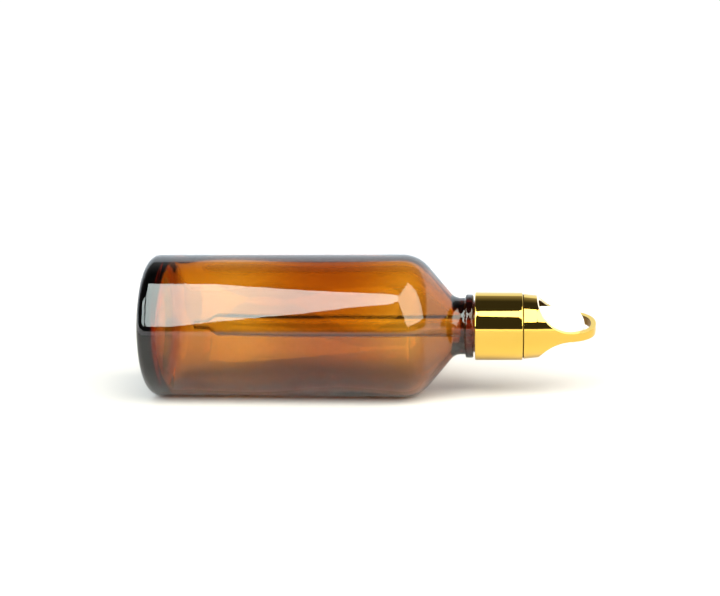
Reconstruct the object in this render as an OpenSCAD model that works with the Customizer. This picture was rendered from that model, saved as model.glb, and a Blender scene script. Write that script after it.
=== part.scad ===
// Dropper bottle, 100 ml, with a screw-on pipette dropper and an arched guard over its bulb.
// The bottle stands on its base. +Z runs along its axis, and the origin is the centre of the base.
// The arch's two legs stand at +Y and -Y, so the bulb is pinched along X through the two openings.

/* [Bottle body] */
// Outer diameter of the body
body_d = 44.5; // [40:0.5:50]
// Height at which the straight wall ends and the shoulder starts
shoulder_z = 79.5; // [60:0.5:90]
// Thickness of the glass wall
wall = 1.8; // [1.5:0.1:3]
// Radius of the rounded heel at the foot of the wall
heel_r = 3.5; // [2:0.1:5]
// Height of the push-up in the middle of the base
punt_h = 2.2; // [1:0.1:3]
// Outer radius of the push-up, inside the ring that the bottle stands on
punt_r = 15.5; // [10:0.5:17]
// Height of the glass floor inside, at its edge
floor_z = 4.2; // [3.8:0.1:6]
// How much the glass floor rises towards its middle
floor_rise = 0.9; // [0:0.1:1.5]

/* [Shoulder and neck] */
// Radius of the curve from the wall into the shoulder
shoulder_r = 11; // [8:0.5:12]
// Slope of the shoulder, from the axis
shoulder_angle = 50; // [40:1:60]
// Outer diameter of the neck
neck_d = 17.6; // [16.6:0.1:18.6]
// Radius of the fillet from the shoulder into the neck
neck_fillet = 3.5; // [2:0.1:5]
// Diameter of the bore through the neck and mouth
bore_d = 11; // [9:0.1:12]
// Overall height of the glass
glass_h = 114; // [113.5:0.5:114.5]

/* [Finish and thread] */
// Diameter of the transfer bead under the cap
bead_d = 19.7; // [19:0.1:20.4]
// Height of the transfer bead
bead_h = 2.5; // [1.5:0.1:3]
// Length of the threaded finish above the bead
finish_h = 12.5; // [12:0.1:13]
// Diameter over the bottle's thread
thread_d = 17.88; // [17.5:0.02:18]
// Diameter of the glass under the thread
core_d = 16; // [15.6:0.1:16.2]
// Rise of the thread in one turn
pitch = 3; // [2.8:0.1:3.2]
// Number of turns of the bottle's thread
glass_turns = 1.6; // [1:0.1:1.9]
// Number of turns of the cap's thread
cap_turns = 1.75; // [1:0.05:2]

/* [Pipette] */
// Outer diameter of the glass pipette
pipette_d = 7; // [6:0.1:7.6]
// Wall of the glass pipette
pipette_wall = 0.8; // [0.7:0.1:1.2]
// Height of the pipette's tip above the table
tip_z = 13.5; // [10:0.5:40]
// Length of the drawn tip, with the shoulder above it
tip_taper = 8; // [6:0.5:20]
// Outer diameter of the tip
tip_d = 2.8; // [2:0.1:4]
// Bore of the tip
tip_bore = 1.2; // [0.8:0.1:1.6]

/* [Bulb] */
// Outer diameter of the rubber bulb
bulb_d = 12.3; // [11.5:0.1:12.8]
// Height of the bulb's top above the table
bulb_top = 135.5; // [133.5:0.5:136]
// Wall of the rubber bulb
bulb_wall = 1.25; // [1:0.05:1.5]
// Diameter of the flange clamped on the bottle's mouth
flange_d = 16.8; // [15:0.1:17.6]
// Thickness of the flange
flange_t = 1.5; // [1:0.1:1.6]

/* [Cap] */
// Outer diameter of the gold shell at its foot
shell_d = 21.1; // [20.8:0.1:21.6]
// How much narrower the shell is at its top, across
shell_draft = 0.2; // [0:0.05:0.4]
// Height of the gold shell
shell_h = 14.55; // [14.4:0.05:15]
// Thickness of the gold shell
shell_t = 0.7; // [0.5:0.05:0.75]
// Thickness of the inner cap's plate, which holds the bulb's flange down
plate_t = 1; // [0.8:0.1:1.2]
// Diameter of the hole in the plate
plate_hole_d = 10.1; // [9.8:0.1:10.4]
// Gap between the bead and the cap
skirt_gap = 0.5; // [0.4:0.1:0.8]

/* [Arched guard] */
// Outer diameter of the guard at its foot
guard_d = 20.2; // [19.8:0.1:20.4]
// Outer distance across the two legs, where they start to curve in
leg_d = 18; // [17.6:0.1:18.6]
// Thickness of the guard
guard_t = 1.5; // [1.2:0.1:1.6]
// Height of the arch's top above the table
arch_top = 138.9; // [138.1:0.1:139.9]
// Height at which the legs start to curve in
arch_spring = 128.1; // [126.5:0.1:129.5]
// Width of the strap
strap_w = 2.7; // [2:0.1:4]
// Radius of the side cuts where they run up into the strap
cut_r = 11; // [9:0.5:12]
// Height at which the side cuts become straight
cut_z = 131.5; // [130:0.5:132.5]

/* [Hidden] */
$fn = 96;

amber = [0.60, 0.30, 0.06, 0.75];
clear_glass = [0.85, 0.90, 0.90, 0.5];
white = "white";
milky = "ivory";
gold = "gold";

arc_steps = 10;                          // chords in each drawn arc
body_r = body_d / 2;
neck_r = neck_d / 2;
bore_r = bore_d / 2;
finish_z = glass_h - finish_h;           // top of the bead, foot of the finish
bead_z = finish_z - bead_h;
bead_round = 0.6;                        // rounding of the bead
lip_round = 0.6;                         // rounding of the mouth
core_r = core_d / 2;
floor_r = 4;                             // inner radius between the floor and the wall

thread_z = finish_z + 4.3;               // middle of the glass ridge at its start
ridge_root_w = 1.9;                      // width of the glass ridge at the core
ridge_crest_w = 0.9;                     // and at its top
cap_ridge_root_w = 1.65;                 // width of the cap's ridge at the skirt
cap_ridge_crest_w = 0.7;                 // and at its inner edge
thread_play = 0.2;                       // radial play between a crest and the wall that it faces
sink = 0.3;                              // how far a ridge is sunk into its wall
turn_steps = 24;                         // segments in one turn of a thread
fade_steps = 5;                          // segments over which a thread runs out

skirt_z = finish_z + skirt_gap;          // foot of the inner cap and of the shell
skirt_r = thread_d / 2 + thread_play;    // inner radius of the skirt
plate_z = glass_h + flange_t;            // underside of the plate
plate_top = plate_z + plate_t;
shell_fit = 0.05;                        // play between the inner cap and the shell
cap_r = shell_d / 2 - shell_draft / 2 - shell_t - shell_fit;
shell_top = skirt_z + shell_h;
boss_h = 3;                              // height of the ring that the guard is pushed on
seam_w = 0.3;                            // width of the groove between the shell and the guard
seam_depth = 0.4;                        // and its depth
guard_z = shell_top + seam_w;            // foot of the guard
guard_r = guard_d / 2;
leg_r = leg_d / 2;
guard_bore_r = guard_r - guard_t;
boss_r = guard_bore_r - 0.05;
boss_t = 1.3;
guard_lean = 1.2;                        // how soon the guard's taper dies out towards the arch
lean_steps = 10;                         // straight stretches that draw the taper
arch_power = 2.35;                       // 2 makes the arch half an ellipse, more makes it squarer
arch_steps = 24;                         // straight stretches that draw each half of the arch

bulb_r = bulb_d / 2;
groove_r = plate_hole_d / 2 - 0.05;      // neck of the bulb, in the plate's hole
grip_r = pipette_d / 2 + 0.05;           // bore that grips the pipette
pipette_top = plate_top + 2.5;
dome_h = 5.5;                            // height of the bulb's dome

// Points of an arc about [x, y] from angle a0 to a1; rx and ry are its two half-axes
function arc(x, y, rx, ry, a0, a1) =
    [for (i = [0 : arc_steps]) let (a = a0 + (a1 - a0) * i / arc_steps) [x + rx * cos(a), y + ry * sin(a)]];

// Shoulder from a wall of radius r0 to a neck of radius r1; its curve has radius rc, and its fillet rf
function shoulder(r0, rc, r1, rf) =
    let (
        a = shoulder_angle,
        top = [r0 - rc * (1 - cos(a)), shoulder_z + rc * sin(a)],
        r_end = r1 + rf * (1 - cos(a)),
        z_end = top[1] + (top[0] - r_end) / tan(a),
        zf = z_end + rf * sin(a)
    )
    concat(
        arc(r0 - rc, shoulder_z, rc, rc, 0, a),
        arc(r1 + rf, zf, rf, rf, 180 + a, 180)
    );

// Push-up of the base: a shallow dome from the axis out to its edge
function punt() =
    let (r = (punt_r * punt_r + punt_h * punt_h) / (2 * punt_h), a = asin(punt_r / r))
    arc(0, punt_h - r, r, r, 90, 90 - a);

// Inside of the base: the floor, a little higher in the middle, and the corner up to the wall
function inner_floor() =
    let (r = body_r - wall, edge = r - floor_r)
    concat(
        arc(r - floor_r, floor_z + floor_r, floor_r, floor_r, 0, -90),
        [[edge / 2, floor_z + floor_rise * 0.8], [0, floor_z + floor_rise]]
    );

// Cross-section of the glass, from the axis out along the base, up the outside and down the inside
function glass_outline() = concat(
    punt(),
    arc(body_r - heel_r, heel_r, heel_r, heel_r, -90, 0),
    shoulder(body_r, shoulder_r, neck_r, neck_fillet),
    [[neck_r, bead_z]],
    arc(bead_d / 2 - bead_round, bead_z + bead_round, bead_round, bead_round, -90, 0),
    arc(bead_d / 2 - bead_round, finish_z - bead_round, bead_round, bead_round, 0, 90),
    [[core_r, finish_z]],
    arc(core_r - lip_round, glass_h - lip_round, lip_round, lip_round, 0, 90),
    arc(bore_r + lip_round, glass_h - lip_round, lip_round, lip_round, 90, 180),
    reverse(shoulder(body_r - wall, shoulder_r - wall, bore_r, neck_fillet + wall)),
    inner_floor()
);

function reverse(points) = [for (i = [len(points) - 1 : -1 : 0]) points[i]];

// A screw ridge: a trapezium from radius r_root to r_crest, swept up a helix that starts at height z
module ridge(r_root, r_crest, w_root, w_crest, z, turns) {
    n = round(turns * turn_steps);
    points = [
        for (i = [0 : n])
            let (
                a = 360 * i / turn_steps,
                zc = z + pitch * i / turn_steps,
                fade = max(0.1, min(1, i / fade_steps, (n - i) / fade_steps)),
                r = r_root + (r_crest - r_root) * fade,
                wr = w_root * (0.4 + 0.6 * fade) / 2,
                wc = w_crest * (0.4 + 0.6 * fade) / 2
            )
            each [
                [r_root * cos(a), r_root * sin(a), zc - wr],
                [r * cos(a), r * sin(a), zc - wc],
                [r * cos(a), r * sin(a), zc + wc],
                [r_root * cos(a), r_root * sin(a), zc + wr]
            ]
    ];
    sides = [
        for (i = [0 : n - 1], k = [0 : 3])
            let (a = 4 * i + k, b = 4 * i + (k + 1) % 4)
            each [[a, a + 4, b], [b, a + 4, b + 4]]
    ];
    last = 4 * n;
    ends = [[0, 1, 2], [0, 2, 3], [last, last + 2, last + 1], [last, last + 3, last + 2]];
    outward = concat(sides, ends);
    faces = r_crest < r_root ? outward : [for (f = outward) [f[0], f[2], f[1]]];
    polyhedron(points, faces);
}

// Outer radius of the guard at height z, between its foot and the spring of the arch
function guard_side(z) =
    leg_r + (guard_r - leg_r) * pow((arch_spring - z) / (arch_spring - guard_z), guard_lean);

// Points of half an arch from its spring up to its top; rx and ry are its two half-axes
function arch_points(rx, ry) = [
    for (i = [0 : arch_steps])
        let (a = 90 * i / arch_steps)
        [rx * pow(cos(a), 2 / arch_power), arch_spring + ry * pow(sin(a), 2 / arch_power)]
];

module glass_bottle() {
    color(amber)
    union() {
        rotate_extrude()
            polygon(glass_outline());
        ridge(core_r - sink, thread_d / 2, ridge_root_w, ridge_crest_w, thread_z, glass_turns);
    }
}

module pipette() {
    r = pipette_d / 2;
    color(clear_glass)
    rotate_extrude()
        polygon([
            [tip_bore / 2, tip_z],
            [tip_d / 2, tip_z],
            [tip_d / 2 + 0.2, tip_z + tip_taper / 2],
            [r, tip_z + tip_taper],
            [r, pipette_top],
            [r - pipette_wall, pipette_top],
            [r - pipette_wall, tip_z + tip_taper],
            [tip_bore / 2 + 0.1, tip_z + tip_taper / 2]
        ]);
}

module rubber_bulb() {
    inner_r = bulb_r - bulb_wall;
    dome_z = bulb_top - dome_h;
    color(white)
    rotate_extrude()
        polygon(concat(
            [
                [grip_r, glass_h],
                [flange_d / 2, glass_h],
                [flange_d / 2, plate_z],
                [groove_r, plate_z],
                [groove_r, plate_top],
                [bulb_r, plate_top + 0.6]
            ],
            arc(0, dome_z, bulb_r, dome_h, 0, 90),
            arc(0, dome_z, inner_r, dome_h - bulb_wall, 90, 0),
            [
                [inner_r, pipette_top + 1],
                [grip_r, pipette_top]
            ]
        ));
}

module inner_cap() {
    color(milky)
    union() {
        rotate_extrude()
            polygon([
                [skirt_r, skirt_z],
                [cap_r, skirt_z],
                [cap_r, plate_top],
                [boss_r, plate_top],
                [boss_r, plate_top + boss_h],
                [boss_r - boss_t, plate_top + boss_h],
                [boss_r - boss_t, plate_top],
                [plate_hole_d / 2, plate_top],
                [plate_hole_d / 2, plate_z],
                [skirt_r, plate_z]
            ]);
        ridge(skirt_r + sink, core_r + thread_play, cap_ridge_root_w, cap_ridge_crest_w,
            thread_z - pitch / 2, cap_turns);
    }
}

module cap_shell() {
    foot_r = shell_d / 2;
    top_r = foot_r - shell_draft / 2;
    edge = 0.25;
    color(gold)
    rotate_extrude()
        polygon([
            [cap_r + shell_fit, skirt_z],
            [foot_r - edge, skirt_z],
            [foot_r, skirt_z + edge],
            [top_r, shell_top - edge],
            [top_r - edge, shell_top],
            [guard_r - seam_depth, shell_top],
            [guard_r - seam_depth, guard_z],
            [guard_bore_r, guard_z],
            [guard_bore_r, plate_top],
            [cap_r + shell_fit, plate_top]
        ]);
}

// One side cut, seen along Y: it clears everything beyond the strap, and curves out to the skirt
module side_cut() {
    reach = guard_d;
    cut_x = strap_w / 2 + cut_r;
    rotate([90, 0, 0])
        linear_extrude(height = 2 * reach, center = true)
            union() {
                translate([cut_x, cut_z])
                    circle(r = cut_r);
                translate([strap_w / 2, cut_z])
                    square([reach, reach]);
                translate([cut_x, cut_z - cut_r])
                    square([reach, reach]);
            }
}

module arch_guard() {
    rise = arch_top - arch_spring;
    boss_end = plate_top + boss_h + 0.2;
    step = (arch_spring - guard_z) / lean_steps;
    inner_step = (arch_spring - boss_end) / lean_steps;
    color(gold)
    difference() {
        rotate_extrude()
            polygon(concat(
                [[guard_bore_r, guard_z]],
                [for (i = [0 : lean_steps - 1]) let (z = guard_z + i * step) [guard_side(z), z]],
                arch_points(leg_r, rise),
                reverse(arch_points(leg_r - guard_t, rise - guard_t)),
                [
                    for (i = [1 : lean_steps - 1])
                        let (z = arch_spring - i * inner_step)
                        [guard_side(z) - guard_t, z]
                ],
                [[guard_bore_r, boss_end]]
            ));
        side_cut();
        mirror([1, 0, 0])
            side_cut();
    }
}

glass_bottle();
pipette();
rubber_bulb();
inner_cap();
cap_shell();
arch_guard();
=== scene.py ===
"""Looks for the dropper bottle: smooth glass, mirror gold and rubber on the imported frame, and the studio.

The bottle stands upright in the frame, +Z along its axis. The picture shows it lying on its side, so the
table is a vertical plane that touches the body, and the camera is turned a quarter turn: the bottle's +Z is
the picture's right.
"""

import math

import bmesh
import bpy
import numpy as np
from mathutils import Matrix, Vector


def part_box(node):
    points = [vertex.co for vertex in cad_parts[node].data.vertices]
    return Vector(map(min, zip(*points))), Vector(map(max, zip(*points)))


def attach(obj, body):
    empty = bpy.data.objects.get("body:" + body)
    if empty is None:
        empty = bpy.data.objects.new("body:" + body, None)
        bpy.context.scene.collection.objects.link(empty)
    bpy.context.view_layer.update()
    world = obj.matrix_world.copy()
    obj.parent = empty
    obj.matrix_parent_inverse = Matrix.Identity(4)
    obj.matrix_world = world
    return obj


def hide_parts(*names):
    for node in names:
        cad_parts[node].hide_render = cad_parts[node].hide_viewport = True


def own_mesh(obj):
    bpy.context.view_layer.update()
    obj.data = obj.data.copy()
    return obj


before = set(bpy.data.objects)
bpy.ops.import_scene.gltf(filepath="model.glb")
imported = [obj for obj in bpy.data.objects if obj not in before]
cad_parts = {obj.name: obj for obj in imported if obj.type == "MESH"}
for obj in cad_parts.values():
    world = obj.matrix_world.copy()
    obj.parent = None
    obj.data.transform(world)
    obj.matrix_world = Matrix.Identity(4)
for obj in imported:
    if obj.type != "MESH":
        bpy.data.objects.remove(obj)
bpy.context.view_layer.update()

MM = 0.001
TURN = 2 * math.pi

# ---------------------------------------------------------------- sizes, in millimetres, from the frame


def extent(node):
    """(outer radius, lowest z, highest z) of a CAD node, in millimetres."""
    low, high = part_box(node)
    return max(high[0], high[1]) / MM, low[2] / MM, high[2] / MM


body_r, _, glass_top = extent("glass_bottle")
shell_r, shell_foot, shell_top = extent("cap_shell")
guard_r, guard_foot, arch_top = extent("arch_guard")
bulb_top = extent("rubber_bulb")[2]
pipette_r, tip_z, pipette_top = extent("pipette")
cap_r, skirt_foot, boss_top = extent("inner_cap")

WALL = 1.8                      # glass wall, before the ripples of blown glass
SHOULDER_Z, SHOULDER_R = 79.5, 11.0
SHOULDER_SLOPE = math.radians(50)
NECK_R, NECK_FILLET, BORE_R = 8.8, 3.5, 5.5
HEEL_R, PUNT_R, PUNT_H = 3.5, 15.5, 2.2
FLOOR_Z, FLOOR_RISE, FLOOR_CORNER = 4.2, 0.9, 4.0
BEAD_R, BEAD_H, BEAD_ROUND = 9.85, 2.5, 0.6
FINISH_H, CORE_R, THREAD_R, PITCH = 12.5, 8.0, 8.94, 3.0
THREAD_START, GLASS_TURNS, CAP_TURNS = 4.3, 1.6, 1.75
LIP_ROUND = 0.6
finish_z = glass_top - FINISH_H
bead_z = finish_z - BEAD_H

FLANGE_T, PLATE_T = 1.5, 1.0
plate_z = glass_top + FLANGE_T
plate_top = plate_z + PLATE_T
BULB_R, BULB_WALL, BULB_DOME = 6.15, 0.9, 5.5
SKIRT_R = 9.14                  # inside of the cap's skirt
FIT = 0.05                      # gap between pieces that are pressed together

GUARD_T, LEG_R, ARCH_SPRING = 1.5, 9.0, 128.1
GUARD_LEAN = 1.2                # how soon the guard's taper dies out towards the arch
ARCH_POWER = 2.35               # 2 makes the arch half an ellipse, more makes it squarer
STRAP_HALF, CUT_R, CUT_Z = 1.35, 11.0, 131.5
SEAM_W, SEAM_DEPTH = 0.3, 0.4   # of the groove between the shell and the guard
NEAR = 0.02                     # how near to a hidden face a face's centre counts as on it

# ---------------------------------------------------------------- mesh helpers


def arc(x, y, rx, ry, a0, a1, steps=14):
    """Points of an arc about (x, y), angles in degrees."""
    angles = np.radians(np.linspace(a0, a1, steps + 1))
    return [(x + rx * math.cos(a), y + ry * math.sin(a)) for a in angles]


def line(p, q, step):
    """Points from p to q, no further apart than step, without q."""
    n = max(1, math.ceil(math.dist(p, q) / step))
    return [(p[0] + (q[0] - p[0]) * i / n, p[1] + (q[1] - p[1]) * i / n) for i in range(n)]


def add_piece(name, vertices, faces):
    """A smooth-shaded mesh object from points in millimetres."""
    mesh = bpy.data.meshes.new(name)
    mesh.from_pydata([tuple(c * MM for c in v) for v in vertices], [], faces)
    mesh.validate()
    bm = bmesh.new()
    bm.from_mesh(mesh)
    bmesh.ops.remove_doubles(bm, verts=bm.verts, dist=1e-7)
    bmesh.ops.recalc_face_normals(bm, faces=bm.faces)
    bm.to_mesh(mesh)
    bm.free()
    mesh.polygons.foreach_set("use_smooth", [True] * len(mesh.polygons))
    piece = bpy.data.objects.new(name, mesh)
    bpy.context.collection.objects.link(piece)
    return piece


def lathe(name, outline, steps=192, shape=None):
    """Turns an outline of (r, z) about Z. A closed outline off the axis makes a ring; one that starts and
    ends on the axis makes a solid. shape(row, r, z, angles) may move the points of a row in and out."""
    closed = outline[0][0] > 1e-6
    rows = []
    vertices = []
    angles = np.arange(steps) * TURN / steps
    for row, (r, z) in enumerate(outline):
        if r < 1e-6:
            rows.append([len(vertices)] * steps)
            vertices.append((0.0, 0.0, z))
            continue
        radius = np.full(steps, r) if shape is None else shape(row, r, z, angles)
        rows.append(list(range(len(vertices), len(vertices) + steps)))
        vertices += [(radius[i] * math.cos(a), radius[i] * math.sin(a), z) for i, a in enumerate(angles)]
    pairs = list(zip(rows, rows[1:] + rows[:1])) if closed else list(zip(rows, rows[1:]))
    faces = []
    for low, high in pairs:
        for i in range(steps):
            k = (i + 1) % steps
            ring = []
            for v in (low[i], low[k], high[k], high[i]):
                if v not in ring:
                    ring.append(v)
            if len(ring) > 2:
                faces.append(ring)
    return add_piece(name, vertices, faces)


def thread(z, angles, start, turns, root_w, crest_w, height):
    """Height of a screw ridge over the wall it grows from, at height z."""
    best = np.zeros(len(angles))
    for k in range(math.ceil(turns) + 1):
        t = angles / TURN + k
        d = np.abs(z - start - PITCH * t)
        side = np.clip((root_w / 2 - d) / ((root_w - crest_w) / 2), 0, 1)
        ends = np.clip(np.minimum(t, turns - t) / 0.2, 0, 1)
        best = np.maximum(best, side * side * (3 - 2 * side) * ends * ends * (3 - 2 * ends))
    return height * best


# ---------------------------------------------------------------- glass bottle


def shoulder(r0, rc, r1, rf):
    """From a wall of radius r0, over a curve of radius rc, down the slope and through a fillet to a neck."""
    a = SHOULDER_SLOPE
    top = (r0 - rc * (1 - math.cos(a)), SHOULDER_Z + rc * math.sin(a))
    r_end = r1 + rf * (1 - math.cos(a))
    z_end = top[1] + (top[0] - r_end) / math.tan(a)
    degrees = math.degrees(a)
    curve = arc(r0 - rc, SHOULDER_Z, rc, rc, 0, degrees, 24)
    fillet = arc(r1 + rf, z_end + rf * math.sin(a), rf, rf, 180 + degrees, 180, 14)
    return curve + line(top, (r_end, z_end), 0.8)[1:] + fillet


UPPER_SIDE = math.radians(-23)   # the side that lies uppermost in the picture, about Z from +X


def smooth(value, low, high):
    """0 below low, 1 above high, and a smooth rise between."""
    t = min(1, max(0, (value - low) / (high - low)))
    return t * t * (3 - 2 * t)


def wall_ripple(z, angles):
    """How far the inside of the blown wall stands out from its plain shape. The wall is thick halfway up,
    thin near the base and the shoulder, and a little thinner on the side that lies uppermost."""
    mean, swell, swell_z, wave = 2.05, 0.45, 55, 58
    upper_cos, upper_blend, upper_loss = 0.75, 0.18, 0.3
    window = smooth(z, 9, 18) * (1 - smooth(z, 88, 97))
    upper = np.clip((np.cos(angles - UPPER_SIDE) - upper_cos) / upper_blend, 0, 1)
    thinner = upper_loss * upper * upper * (3 - 2 * upper)
    thickness = mean + swell * math.cos(TURN * (z - swell_z) / wave) - thinner
    ripple = 0.10 * np.sin(2 * angles + 0.055 * z + 0.6) + 0.06 * np.sin(3 * angles - 0.09 * z + 2.0)
    ripple += 0.045 * np.sin(5 * angles + 1.0) * math.sin(TURN * z / 38 + 0.8)
    return window * (WALL - thickness + ripple)


def build_bottle():
    """The blown bottle: punt, heel, body, shoulder, neck, bead and threaded finish, then its inside."""
    sphere = (PUNT_R ** 2 + PUNT_H ** 2) / (2 * PUNT_H)
    tilt = math.degrees(math.asin(PUNT_R / sphere))
    inner_r = body_r - WALL
    foot, corner = 0.6, 0.25
    outline = arc(0, PUNT_H - sphere, sphere, sphere, 90, 90 - tilt, 10)
    outline += arc(PUNT_R + foot, foot, foot, foot, -120, -90, 3)
    outline += arc(body_r - HEEL_R, HEEL_R, HEEL_R, HEEL_R, -90, 0, 16)
    outline += line((body_r, HEEL_R), (body_r, SHOULDER_Z), 2.0)[1:]
    outline += shoulder(body_r, SHOULDER_R, NECK_R, NECK_FILLET)
    outline += arc(NECK_R + corner, bead_z - corner, corner, corner, 180, 90, 4)
    outline += arc(BEAD_R - BEAD_ROUND, bead_z + BEAD_ROUND, BEAD_ROUND, BEAD_ROUND, -90, 0, 8)
    outline += arc(BEAD_R - BEAD_ROUND, finish_z - BEAD_ROUND, BEAD_ROUND, BEAD_ROUND, 0, 90, 8)
    outline += line((CORE_R, finish_z), (CORE_R, glass_top - LIP_ROUND), 0.12)
    outline += arc(CORE_R - LIP_ROUND, glass_top - LIP_ROUND, LIP_ROUND, LIP_ROUND, 0, 90, 8)
    outline += arc(BORE_R + LIP_ROUND, glass_top - LIP_ROUND, LIP_ROUND, LIP_ROUND, 90, 180, 8)
    first_inside = len(outline)
    inside = shoulder(inner_r, SHOULDER_R - WALL, BORE_R, NECK_FILLET + WALL)[::-1]
    outline += line((BORE_R, glass_top - LIP_ROUND), inside[0], 2.0)[1:]
    outline += inside
    outline += line((inner_r, SHOULDER_Z), (inner_r, FLOOR_Z + FLOOR_CORNER), 2.0)[1:]
    outline += arc(inner_r - FLOOR_CORNER, FLOOR_Z + FLOOR_CORNER, FLOOR_CORNER, FLOOR_CORNER, 0, -90, 16)
    flat_r = inner_r - FLOOR_CORNER
    outline += [(flat_r * s, FLOOR_Z + FLOOR_RISE * (1 - s * s)) for s in np.linspace(1, 0, 10)[1:]]

    def shape(row, r, z, angles):
        if row >= first_inside:
            return r + wall_ripple(z, angles)
        if z > finish_z and abs(r - CORE_R) < 0.01:
            start = finish_z + THREAD_START
            return r + thread(z, angles, start, GLASS_TURNS, 1.9, 0.9, THREAD_R - CORE_R)
        return np.full(len(angles), r)

    return lathe("bottle_glass", outline, 256, shape)


# ---------------------------------------------------------------- pipette, bulb and inner cap


def build_pipette():
    """The glass tube, its end drawn out to a narrow tip and its rims melted round."""
    bore = pipette_r - 0.8
    tip_r, tip_round, tip_bore, drawn_r, drawn_bore = 1.1, 0.3, 0.6, 1.6, 0.75
    tip_end, taper_end = tip_z + 4.0, tip_z + 8.0
    rim_out, rim_in = 0.4, 0.3
    rim_z = pipette_top - rim_out
    outside = arc(tip_r, tip_z + tip_round, tip_round, tip_round, -90, 0, 4)
    outside += [(drawn_r, tip_end)]
    taper = taper_end - tip_end
    ease = [(s, s * s * (3 - 2 * s)) for s in np.linspace(0, 1, 14)[1:]]
    outside += [(drawn_r + (pipette_r - drawn_r) * e, tip_end + taper * s) for s, e in ease]
    outside += line((pipette_r, taper_end), (pipette_r, rim_z), 4.0)[1:]
    rim = arc(pipette_r - rim_out, rim_z, rim_out, rim_out, 0, 90, 5)
    rim += arc(bore + rim_in, pipette_top - rim_in, rim_in, rim_in, 90, 180, 5)
    inside = line((bore, rim_z), (bore, taper_end), 4.0)[1:]
    inside += [(bore - (bore - drawn_bore) * e, taper_end - taper * s) for s, e in ease]
    inside += [(tip_bore, tip_z + tip_round)]
    return lathe("pipette_glass", outside + rim + inside, 96)


def build_bulb_dome():
    """The part of the bulb above the plate, which gives when it is pinched."""
    foot, foot_z = 0.5, plate_top + FIT + 0.5
    dome_z = bulb_top - BULB_DOME
    inner_r = BULB_R - BULB_WALL
    outside = arc(BULB_R - foot, foot_z, foot, foot, -90, 0, 6)
    outside += line((BULB_R, foot_z), (BULB_R, dome_z), 1.0)[1:]
    outside += arc(0, dome_z, BULB_R, BULB_DOME, 0, 90, 24)[:-1] + [(0.0, bulb_top)]
    inside = [(inner_r - 0.2, plate_top + FIT), (inner_r, plate_top + 0.3)]
    inside += line((inner_r, plate_top + 0.4), (inner_r, dome_z), 1.0)[1:]
    inside += arc(0, dome_z, inner_r, BULB_DOME - BULB_WALL, 0, 90, 16)[:-1] + [(0.0, bulb_top - BULB_WALL)]
    return lathe("bulb_dome", outside[::-1] + inside, 128)


def build_bulb_flange():
    """The bulb's foot: the flange on the mouth, the groove in the plate and the sleeve round the pipette."""
    grip = pipette_r + 0.06
    sleeve_r, sleeve_top = grip + 0.25, pipette_top + 0.4
    flange_r, neck_r, edge = 8.4, 5.0, 0.3
    low, high = glass_top + 0.02, plate_z - 0.02
    outline = [(grip, low), (grip + 0.1, low)]
    outline += arc(flange_r - edge, low + edge, edge, edge, -90, 0, 5)
    outline += arc(flange_r - edge, high - edge, edge, edge, 0, 90, 5)
    outline += [(neck_r, high), (neck_r, plate_top + FIT), (sleeve_r, plate_top + 0.3)]
    outline += [(sleeve_r, sleeve_top), (grip, sleeve_top)]
    return lathe("bulb_flange", outline, 96)


def build_inner_cap():
    """The moulded screw cap: skirt with its thread inside, plate, and the boss that carries the guard."""
    boss_r = guard_r - GUARD_T - FIT
    boss_in = boss_r - 1.3
    hole_r = 5.05
    edge = 0.2                   # rounding of the corners
    outline = line((SKIRT_R, skirt_foot + 0.3), (SKIRT_R, plate_z - edge), 0.12)[::-1]
    outline += arc(SKIRT_R + edge, skirt_foot + edge, edge, edge, 180, 270, 4)
    outline += arc(cap_r - edge, skirt_foot + edge, edge, edge, -90, 0, 4)
    outline += arc(cap_r - edge, plate_top - edge, edge, edge, 0, 90, 4)
    outline += [(boss_r, plate_top)]
    outline += arc(boss_r - edge, boss_top - edge, edge, edge, 0, 90, 4)
    outline += arc(boss_in + edge, boss_top - edge, edge, edge, 90, 180, 4)
    outline += [(boss_in, plate_top)]
    outline += arc(hole_r + edge, plate_top - edge, edge, edge, 90, 180, 4)
    outline += [(hole_r, plate_z), (SKIRT_R - edge, plate_z)]

    def inner_thread(row, r, z, angles):
        if abs(r - SKIRT_R) > 0.01:
            return np.full(len(angles), r)
        start = finish_z + THREAD_START - PITCH / 2
        return r - thread(z, angles, start, CAP_TURNS, 1.65, 0.7, SKIRT_R - CORE_R - 0.2)

    return lathe("cap_liner", outline, 192, inner_thread)


# ---------------------------------------------------------------- gold shell and guard


def mark_inside(piece, test):
    """Gives a piece's hidden faces its second material. The test takes a face's centre and radius in mm."""
    for face in piece.data.polygons:
        radius = math.hypot(face.center.x, face.center.y) / MM
        face.material_index = 1 if test(face.center, radius) else 0


def build_shell():
    """Drawn metal shell: a soft foot, a slight draft, and a rounded top with the seat under the guard."""
    draft = 0.1
    top_r = shell_r - draft
    top_z = shell_top - SEAM_W
    inner = cap_r + FIT
    foot, crown = 0.3, 0.3
    seat = guard_r - SEAM_DEPTH
    outline = arc(shell_r - foot, shell_foot + foot, foot, foot, -90, 0, 8)
    outline += line((shell_r, shell_foot + foot), (top_r, top_z - crown), 1.0)[1:]
    outline += arc(top_r - crown, top_z - crown, crown, crown, 0, 90, 8)
    outline += [(seat, top_z), (seat, shell_top), (guard_r - GUARD_T, shell_top)]
    outline += [(guard_r - GUARD_T, plate_top), (inner, plate_top), (inner, shell_foot + FIT)]
    shell = lathe("shell_gold", outline, 256)
    crown_z = (top_z - NEAR) * MM
    # the groove's seat and the shell's inside faces get the darker gold of painted shade
    mark_inside(shell, lambda centre, r: r < seat + NEAR or centre.z > crown_z and r < top_r - crown)
    return shell


def cut_half(z):
    """Half the guard's width along X at height z, between its two side cuts."""
    if z >= CUT_Z:
        return STRAP_HALF
    reach = CUT_R ** 2 - (CUT_Z - z) ** 2
    return STRAP_HALF + CUT_R - math.sqrt(reach) if reach > 0 else guard_r


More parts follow.
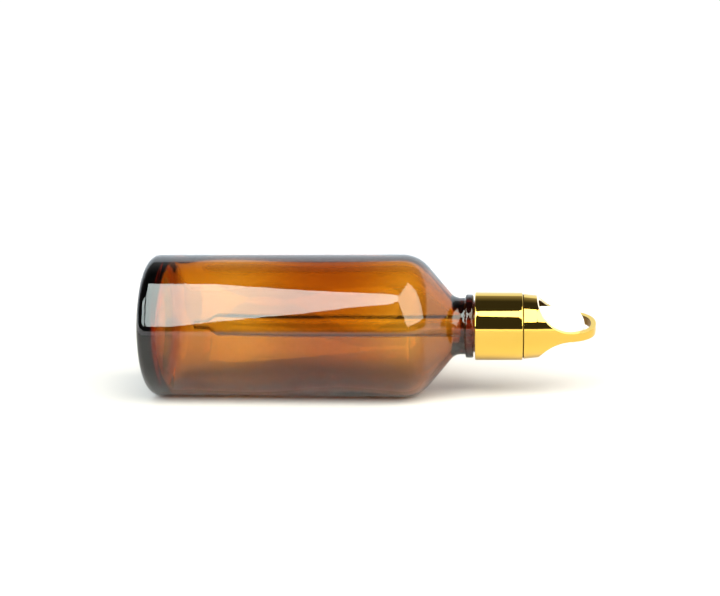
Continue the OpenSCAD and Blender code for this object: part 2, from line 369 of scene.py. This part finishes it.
def guard_side(z, inset):
    """Radius of the guard's outside (inset 0) or inside at a height below the arch's spring."""
    lean = (1 - (z - guard_foot) / (ARCH_SPRING - guard_foot)) ** GUARD_LEAN
    return LEG_R + (guard_r - LEG_R) * lean - inset


RING_ROWS, LEG_ROWS, ARCH_ROWS = 15, 45, 48      # rows of points below the cuts, beside them and over them


def mouth_height(inset):
    """Height at which the side cuts leave the guard's round wall, found by halving."""
    low, high = CUT_Z - CUT_R, ARCH_SPRING
    for _ in range(40):
        middle = (low + high) / 2
        if cut_half(middle) > guard_side(middle, inset):
            low = middle
        else:
            high = middle
    return high


def arch_level(r, z, leg, rise):
    """Below 1 inside the arch's skin and above 1 outside, for a point at radius r and z over the spring."""
    return (r / leg) ** ARCH_POWER + (z / rise) ** ARCH_POWER


def guard_skin(inset, columns):
    """Rows of points over the leg on +Y, from the foot up to the top of the arch, each from -X to +X."""
    leg, rise = LEG_R - inset, arch_top - ARCH_SPRING - inset
    share = np.linspace(-1, 1, columns)
    rows = []

    def shrink(x, y, z):
        """What y and z over the spring are scaled by, to put a point of the arch at x onto its skin."""
        low, high = 0.0, 1.0
        for _ in range(30):
            middle = (low + high) / 2
            if arch_level(math.hypot(x, middle * y), middle * z, leg, rise) < 1:
                low = middle
            else:
                high = middle
        return high

    def add_row(z, r, a):
        rows.append([(r * math.sin(u * a), r * math.cos(u * a), z) for u in share])

    mouth = mouth_height(inset)
    for s in np.linspace(0, 1, RING_ROWS)[:-1]:
        z = guard_foot + (mouth - guard_foot) * s
        add_row(z, guard_side(z, inset), math.pi / 2)
    for s in np.linspace(0, 1, LEG_ROWS)[:-1]:
        z = mouth + (ARCH_SPRING - mouth) * s ** 2
        r = guard_side(z, inset)
        add_row(z, r, math.asin(min(1, cut_half(z) / r)))
    for t in np.linspace(0, math.pi / 2, ARCH_ROWS):
        y = leg * max(0.0, math.cos(t)) ** (2 / ARCH_POWER)
        z = rise * math.sin(t) ** (2 / ARCH_POWER)
        a = math.asin(cut_half(ARCH_SPRING + z) / leg)
        row = []
        for u in share:
            x = leg * math.sin(u * a)
            scale = shrink(x, y, z)
            row.append((x, scale * y, ARCH_SPRING + scale * z))
        rows.append(row)
    return rows


def is_inside(centre, r):
    """Whether a point lies on the guard's inner skin."""
    z = centre.z / MM
    middle = GUARD_T * 0.6
    if z < ARCH_SPRING:
        return r < guard_side(z, middle)
    leg, rise = LEG_R - middle, arch_top - ARCH_SPRING - middle
    return arch_level(r, z - ARCH_SPRING, leg, rise) < 1


def build_guard():
    """Both legs of the guard, each with an outer and an inner skin, and the cut edges between the skins."""
    columns = 33
    outer, inner = guard_skin(0, columns), guard_skin(GUARD_T, columns)
    vertices, faces = [], []
    for side in (1, -1):
        start = len(vertices)
        for skin in (outer, inner):
            for row in skin:
                vertices += [(x, side * y, z) for x, y, z in row]
        per_skin = len(outer) * columns
        for skin in (0, 1):
            for i in range(len(outer) - 1):
                for k in range(columns - 1):
                    a = start + skin * per_skin + i * columns + k
                    faces.append((a, a + 1, a + columns + 1, a + columns))
        for k in range(columns - 1):
            a = start + k
            faces.append((a, a + 1, a + 1 + per_skin, a + per_skin))
        for i in range(RING_ROWS - 1, len(outer) - 1):
            for k in (0, columns - 1):
                a = start + i * columns + k
                faces.append((a, a + columns, a + columns + per_skin, a + per_skin))
    guard = add_piece("guard_gold", vertices, faces)
    # the guard's foot and its inner skin get the darker gold of painted shade
    mark_inside(guard, lambda centre, r: centre.z < (guard_foot + NEAR) * MM or is_inside(centre, r))
    bevel = guard.modifiers.new("edges", "BEVEL")
    bevel.width = 0.14 * MM
    bevel.segments = 3
    bevel.limit_method = "ANGLE"
    bevel.angle_limit = math.radians(48)
    bevel.harden_normals = True
    return guard


# ---------------------------------------------------------------- materials


def new_material(name):
    """A material with an empty tree but for its output and a Principled shader."""
    material = bpy.data.materials.new(name)
    material.use_nodes = True
    tree = material.node_tree
    tree.nodes.clear()
    output = tree.nodes.new("ShaderNodeOutputMaterial")
    shader = tree.nodes.new("ShaderNodeBsdfPrincipled")
    tree.links.new(shader.outputs["BSDF"], output.inputs["Surface"])
    return material, tree, shader, output


def noise(tree, scale, detail=2.0, stretch=(1, 1, 1)):
    """Noise over the object's own coordinates; scale is in cycles a metre."""
    where = tree.nodes.new("ShaderNodeTexCoord")
    mapping = tree.nodes.new("ShaderNodeMapping")
    mapping.inputs["Scale"].default_value = stretch
    texture = tree.nodes.new("ShaderNodeTexNoise")
    texture.inputs["Scale"].default_value = scale
    texture.inputs["Detail"].default_value = detail
    tree.links.new(where.outputs["Object"], mapping.inputs["Vector"])
    tree.links.new(mapping.outputs["Vector"], texture.inputs["Vector"])
    return texture.outputs["Fac"]


def spread(tree, value, low, high):
    """value, from 0.3 to 0.7, stretched to run from low to high."""
    node = tree.nodes.new("ShaderNodeMapRange")
    node.inputs["From Min"].default_value = 0.3
    node.inputs["From Max"].default_value = 0.7
    node.inputs["To Min"].default_value = low
    node.inputs["To Max"].default_value = high
    tree.links.new(value, node.inputs["Value"])
    return node.outputs["Result"]


def mix_colour(tree, factor, a, b):
    """Colour a where factor is 0 and b where it is 1."""
    node = tree.nodes.new("ShaderNodeMix")
    node.data_type = "RGBA"
    node.inputs["A"].default_value = (*a, 1)
    node.inputs["B"].default_value = (*b, 1)
    tree.links.new(factor, node.inputs["Factor"])
    return node.outputs["Result"]


def bump(tree, height, strength, distance):
    """The normal of a surface that height raises by up to distance, in metres."""
    node = tree.nodes.new("ShaderNodeBump")
    node.inputs["Strength"].default_value = strength
    node.inputs["Distance"].default_value = distance
    tree.links.new(height, node.inputs["Height"])
    return node.outputs["Normal"]


def glass_material(name, tint_a, tint_b, index, absorb_colour, absorb_density, ripple):
    """Clear glass that takes its colour from what it absorbs inside."""
    material, tree, shader, output = new_material(name)
    shader.inputs["Transmission Weight"].default_value = 1.0
    shader.inputs["IOR"].default_value = index
    shader.inputs["Roughness"].default_value = 0.0
    tint = mix_colour(tree, spread(tree, noise(tree, 60), 0, 1), tint_a, tint_b)
    tree.links.new(tint, shader.inputs["Base Color"])
    tree.links.new(bump(tree, noise(tree, 45, 1.0, (1, 1, 0.45)), ripple, 0.001), shader.inputs["Normal"])
    absorb = tree.nodes.new("ShaderNodeVolumeAbsorption")
    absorb.inputs["Color"].default_value = (*absorb_colour, 1)
    absorb.inputs["Density"].default_value = absorb_density
    tree.links.new(absorb.outputs["Volume"], output.inputs["Volume"])
    return material


def gold_material(name, tone_a, tone_b, metallic, rough_a, rough_b, dents):
    """Plated metal with slight clouds in its tone and polish."""
    material, tree, shader, _ = new_material(name)
    shader.inputs["Metallic"].default_value = metallic
    tone = mix_colour(tree, spread(tree, noise(tree, 90), 0, 1), tone_a, tone_b)
    tree.links.new(tone, shader.inputs["Base Color"])
    tree.links.new(spread(tree, noise(tree, 700, 3.0), rough_a, rough_b), shader.inputs["Roughness"])
    tree.links.new(bump(tree, noise(tree, 260, 2.0), dents, 0.0002), shader.inputs["Normal"])
    return material


def rubber_material():
    material, tree, shader, _ = new_material("white_rubber")
    cloud = spread(tree, noise(tree, 400, 3.0), 0, 1)
    tone = mix_colour(tree, cloud, (0.90, 0.90, 0.895), (0.94, 0.94, 0.93))
    tree.links.new(tone, shader.inputs["Base Color"])
    tree.links.new(spread(tree, noise(tree, 1500, 3.0), 0.36, 0.48), shader.inputs["Roughness"])
    tree.links.new(bump(tree, noise(tree, 2600, 4.0), 0.12, 0.0001), shader.inputs["Normal"])
    shader.inputs["Subsurface Weight"].default_value = 0.25
    shader.inputs["Subsurface Radius"].default_value = (0.9, 0.7, 0.5)
    shader.inputs["Subsurface Scale"].default_value = 0.002
    return material


def plastic_material():
    material, tree, shader, _ = new_material("moulded_plastic")
    cloud = spread(tree, noise(tree, 300, 3.0), 0, 1)
    tone = mix_colour(tree, cloud, (0.86, 0.855, 0.83), (0.90, 0.895, 0.87))
    tree.links.new(tone, shader.inputs["Base Color"])
    tree.links.new(spread(tree, noise(tree, 1200, 3.0), 0.3, 0.42), shader.inputs["Roughness"])
    tree.links.new(bump(tree, noise(tree, 1800, 3.0), 0.1, 0.0001), shader.inputs["Normal"])
    return material


# ---------------------------------------------------------------- build and ride

NO_TINT = (1.0, 1.0, 1.0)
AMBER = (0.83, 0.62, 0.0)        # with its density, what a millimetre of the bottle's glass lets through
FAINT = 1.42                     # a low refractive index keeps the thin tube's edges faint in the bottle
CLEAR = (0.74, 0.80, 0.79)       # with its density, a slight grey that shows the tube when it is lifted out
amber = glass_material("amber_glass", (0.98, 0.97, 0.95), NO_TINT, index=1.52, absorb_colour=AMBER,
                       absorb_density=1450.0, ripple=0.02)
clear = glass_material("clear_glass", (0.97, 0.985, 0.98), NO_TINT, index=FAINT, absorb_colour=CLEAR,
                       absorb_density=220.0, ripple=0.01)
gold = gold_material("mirror_gold", (0.72, 0.47, 0.088), (0.74, 0.485, 0.095), metallic=1.0,
                     rough_a=0.02, rough_b=0.05, dents=0.06)
# a darker, rougher gold for hidden faces: its dark tone is painted shade in the groove and the guard's
# inside
shaded_gold = gold_material("gold_painted_shade", (0.20, 0.11, 0.03), (0.25, 0.14, 0.04), metallic=0.9,
                            rough_a=0.3, rough_b=0.4, dents=0.1)
rubber = rubber_material()
plastic = plastic_material()


def place(piece, body, slot, material, *nodes):
    """Gives a piece its material and hands it to the frame."""
    piece.data.materials.append(material)
    # gold pieces also get the darker gold, which paints the shade on their hidden faces
    if material is gold:
        piece.data.materials.append(shaded_gold)
    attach(piece, body)
    if nodes:
        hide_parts(*nodes)
    return piece


place(build_bottle(), "bottle", "amber_glass", amber, "glass_bottle")
place(build_pipette(), "dropper", "clear_glass", clear, "pipette")
place(build_inner_cap(), "cap", "white_plastic", plastic, "inner_cap")
place(build_shell(), "cap", "gold", gold, "cap_shell")
place(build_guard(), "cap", "gold", gold, "arch_guard")
place(build_bulb_flange(), "cap", "white_rubber", rubber)
dome = place(build_bulb_dome(), "cap", "white_rubber", rubber, "rubber_bulb")
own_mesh(dome)

# ---------------------------------------------------------------- table, lights and camera

GUARD_TURN = math.radians(67)            # from the openings' +X to the camera
CAMERA_RISE = math.radians(10)           # of the camera over the table
CAMERA_YAW = math.radians(5.62)          # towards the cap
CAMERA_ROLL = math.radians(0.1)
CAMERA_DISTANCE = 0.440
LENS = 70.6
SENSOR = 36.0
AIM_Z, AIM_LIFT = 0.0662, 0.0086         # where the camera looks: along the bottle, and over its axis
MIDDLE = Vector((0, 0, 0.07))            # of the bottle's length

BRIGHT = 1.9                     # the most that the room shines with
CLEAN = (1.05, 1.05, 1.05)       # the picture's own background
WHITE = (BRIGHT, BRIGHT, BRIGHT)
BACKDROP = (1.2, 1.32, 1.42)
DIM = (0.4, 0.4, 0.4)
GLOOM = (0.13, 0.13, 0.13)
DARK = (0.045, 0.045, 0.045)
NIGHT = (0.12, 0.12, 0.12)
MIRRORED_ROOM = [(-180, WHITE), (-1, WHITE), (1, BACKDROP), (43, BACKDROP), (46, DIM), (66, GLOOM),
                 (76, DARK), (179.5, DARK), (180, WHITE)]
ROOM_THROUGH_GLASS = [(-180, WHITE), (4, WHITE), (6, NIGHT), (179.5, NIGHT), (180, WHITE)]
TABLE_WHITE = (0.64, 0.60, 0.605)
TABLE_RADIUS, FADE_FROM, FADE_TO = 0.6, 0.15, 0.35       # of the sheet, in metres
LEFT_PANEL = [(-14, 8), (-9.3, 29.6), (-7.8, 39.2), (-4, 51), (-4, 58), (-21, 67), (-51, 74.5),
              (-64, 70.5), (-28, 50), (-20.3, 30), (-17.6, 8)]
SIDE_PANEL = [(-25, 8), (-29, 30), (-41, 50), (-66, 35), (-49, 8)]
RIGHT_PANEL = [(27.5, 8.3), (20.5, 17), (2, 43), (-6.5, 51), (0, 61), (40, 70), (82, 71), (84.5, 8.3)]
PANEL_DISTANCE = 4.0

along = Vector((0, 0, 1))                                            # the picture's right
side_on = Vector((math.cos(GUARD_TURN), math.sin(GUARD_TURN), 0))    # across the axis, to the camera
above = Vector((math.sin(GUARD_TURN), -math.cos(GUARD_TURN), 0))     # the picture's up
table_up = math.cos(CAMERA_RISE) * above + math.sin(CAMERA_RISE) * side_on
table_front = math.cos(CAMERA_RISE) * side_on - math.sin(CAMERA_RISE) * above


def direction(azimuth, elevation):
    """Unit vector as seen from the bottle on the table; azimuth runs from the front towards the cap."""
    a, e = math.radians(azimuth), math.radians(elevation)
    flat = math.cos(a) * table_front + math.sin(a) * along
    return math.cos(e) * flat + math.sin(e) * table_up


def make_camera():
    """The camera, a little over the table and turned towards the cap."""
    back = math.cos(CAMERA_YAW) * side_on + math.sin(CAMERA_YAW) * along
    right = math.cos(CAMERA_YAW) * along - math.sin(CAMERA_YAW) * side_on
    c, s = math.cos(CAMERA_ROLL), math.sin(CAMERA_ROLL)
    right, up = c * right + s * above, c * above - s * right
    data = bpy.data.cameras.new("camera")
    data.sensor_width = SENSOR
    data.lens = LENS
    camera = bpy.data.objects.new("camera", data)
    bpy.context.collection.objects.link(camera)
    aim = Vector((0, 0, AIM_Z)) + AIM_LIFT * above
    turn = Matrix((right, up, back)).transposed().to_4x4()
    camera.matrix_world = Matrix.Translation(aim + CAMERA_DISTANCE * back) @ turn
    bpy.context.scene.camera = camera


def make_panel(name, corners, distance, colour, strength):
    """A soft light: a flat panel whose corners lie in the given directions from the bottle's middle."""
    rays = [direction(a, e) for a, e in corners]
    normal = sum(rays, Vector()).normalized()
    points = [MIDDLE + ray * (distance / ray.dot(normal)) for ray in rays]
    mesh = bpy.data.meshes.new(name)
    mesh.from_pydata([tuple(p) for p in points], [], [tuple(range(len(points)))])
    material = bpy.data.materials.new(name)
    material.use_nodes = True
    tree = material.node_tree
    tree.nodes.clear()
    glow = tree.nodes.new("ShaderNodeEmission")
    glow.inputs["Color"].default_value = (*colour, 1)
    glow.inputs["Strength"].default_value = strength
    output = tree.nodes.new("ShaderNodeOutputMaterial")
    tree.links.new(glow.outputs["Emission"], output.inputs["Surface"])
    mesh.materials.append(material)
    panel = bpy.data.objects.new(name, mesh)
    bpy.context.collection.objects.link(panel)
    panel.visible_camera = False


def make_table():
    """A white sheet under the bottle. It fades out to the white room, and is clear from behind."""
    centre = MIDDLE - table_up * (body_r * MM)
    mesh = bpy.data.meshes.new("table")
    bm = bmesh.new()
    bmesh.ops.create_circle(bm, cap_ends=True, segments=64, radius=TABLE_RADIUS)
    bm.to_mesh(mesh)
    bm.free()
    table = bpy.data.objects.new("table", mesh)
    bpy.context.collection.objects.link(table)
    turn = Matrix((table_front, along, table_up)).transposed().to_4x4()
    table.matrix_world = Matrix.Translation(centre) @ turn
    material = bpy.data.materials.new("table")
    material.use_nodes = True
    tree = material.node_tree
    tree.nodes.clear()
    output = tree.nodes.new("ShaderNodeOutputMaterial")
    paint = tree.nodes.new("ShaderNodeBsdfDiffuse")
    paint.inputs["Color"].default_value = (*TABLE_WHITE, 1)
    clear_sheet = tree.nodes.new("ShaderNodeBsdfTransparent")
    where = tree.nodes.new("ShaderNodeTexCoord")
    length = tree.nodes.new("ShaderNodeVectorMath")
    length.operation = "LENGTH"
    fade = tree.nodes.new("ShaderNodeMapRange")
    fade.interpolation_type = "SMOOTHSTEP"
    fade.inputs["From Min"].default_value = FADE_FROM
    fade.inputs["From Max"].default_value = FADE_TO
    geometry = tree.nodes.new("ShaderNodeNewGeometry")
    either = tree.nodes.new("ShaderNodeMath")
    either.operation = "MAXIMUM"
    mix = tree.nodes.new("ShaderNodeMixShader")
    tree.links.new(where.outputs["Object"], length.inputs[0])
    tree.links.new(length.outputs["Value"], fade.inputs["Value"])
    tree.links.new(fade.outputs["Result"], either.inputs[0])
    tree.links.new(geometry.outputs["Backfacing"], either.inputs[1])
    tree.links.new(either.outputs["Value"], mix.inputs["Fac"])
    tree.links.new(paint.outputs["BSDF"], mix.inputs[1])
    tree.links.new(clear_sheet.outputs["BSDF"], mix.inputs[2])
    tree.links.new(mix.outputs["Shader"], output.inputs["Surface"])
    mesh.materials.append(material)


def make_room():
    """The room, by the angle over the table measured from the back. Mirrored and scattered rays meet white
    below the table's edge, a bright backdrop that ends halfway up, and dark overhead and in front. Rays
    that come through glass meet the white and a dark room over it, and the camera sees plain white."""
    world = bpy.data.worlds.new("room")
    bpy.context.scene.world = world
    world.use_nodes = True
    tree = world.node_tree
    tree.nodes.clear()
    output = tree.nodes.new("ShaderNodeOutputWorld")
    where = tree.nodes.new("ShaderNodeTexCoord")
    path = tree.nodes.new("ShaderNodeLightPath")

    def facing(vector):
        """How far the direction looked in points along vector."""
        dot = tree.nodes.new("ShaderNodeVectorMath")
        dot.operation = "DOT_PRODUCT"
        dot.inputs[1].default_value = vector
        tree.links.new(where.outputs["Generated"], dot.inputs[0])
        return dot.outputs["Value"]

    angle = tree.nodes.new("ShaderNodeMath")
    angle.operation = "ARCTAN2"
    tree.links.new(facing(table_up), angle.inputs[0])
    tree.links.new(facing(-table_front), angle.inputs[1])
    share = tree.nodes.new("ShaderNodeMapRange")
    share.inputs["From Min"].default_value = -math.pi
    share.inputs["From Max"].default_value = math.pi
    tree.links.new(angle.outputs["Value"], share.inputs["Value"])

    def background(stops):
        """A background whose colour follows (angle in degrees, colour) stops."""
        node = tree.nodes.new("ShaderNodeBackground")
        ramp_node = tree.nodes.new("ShaderNodeValToRGB")
        ramp = ramp_node.color_ramp
        while len(ramp.elements) < len(stops):
            ramp.elements.new(0.5)
        for k, (degrees, _) in enumerate(stops):
            ramp.elements[k].position = (degrees + 180) / 360
        for k, (_, colour) in enumerate(stops):
            ramp.elements[k].color = (*[c / BRIGHT for c in colour], 1)
        tree.links.new(share.outputs["Result"], ramp_node.inputs["Fac"])
        tree.links.new(ramp_node.outputs["Color"], node.inputs["Color"])
        node.inputs["Strength"].default_value = BRIGHT
        return node.outputs["Background"]

    def choose(switch, a, b):
        """a where switch is 0 and b where it is 1."""
        node = tree.nodes.new("ShaderNodeMixShader")
        tree.links.new(switch, node.inputs["Fac"])
        tree.links.new(a, node.inputs[1])
        tree.links.new(b, node.inputs[2])
        return node.outputs["Shader"]

    mirrored = background(MIRRORED_ROOM)
    through = background(ROOM_THROUGH_GLASS)
    plain = background([(-180, CLEAN), (180, CLEAN)])
    room = choose(path.outputs["Is Transmission Ray"], mirrored, through)
    tree.links.new(choose(path.outputs["Is Camera Ray"], room, plain), output.inputs["Surface"])


make_camera()
make_panel("left_panel", LEFT_PANEL, PANEL_DISTANCE, (0.9, 1.04, 1.0), 9.5)
make_panel("side_panel", SIDE_PANEL, PANEL_DISTANCE, (0.9, 1.04, 1.0), 9.5)
make_panel("right_panel", RIGHT_PANEL, PANEL_DISTANCE, (1.0, 0.98, 0.82), 6.3)
make_table()
make_room()

BOUNCES = 24
scene = bpy.context.scene
scene.view_settings.view_transform = "Standard"
scene.cycles.max_bounces = BOUNCES
scene.cycles.transmission_bounces = BOUNCES
scene.cycles.transparent_max_bounces = BOUNCES
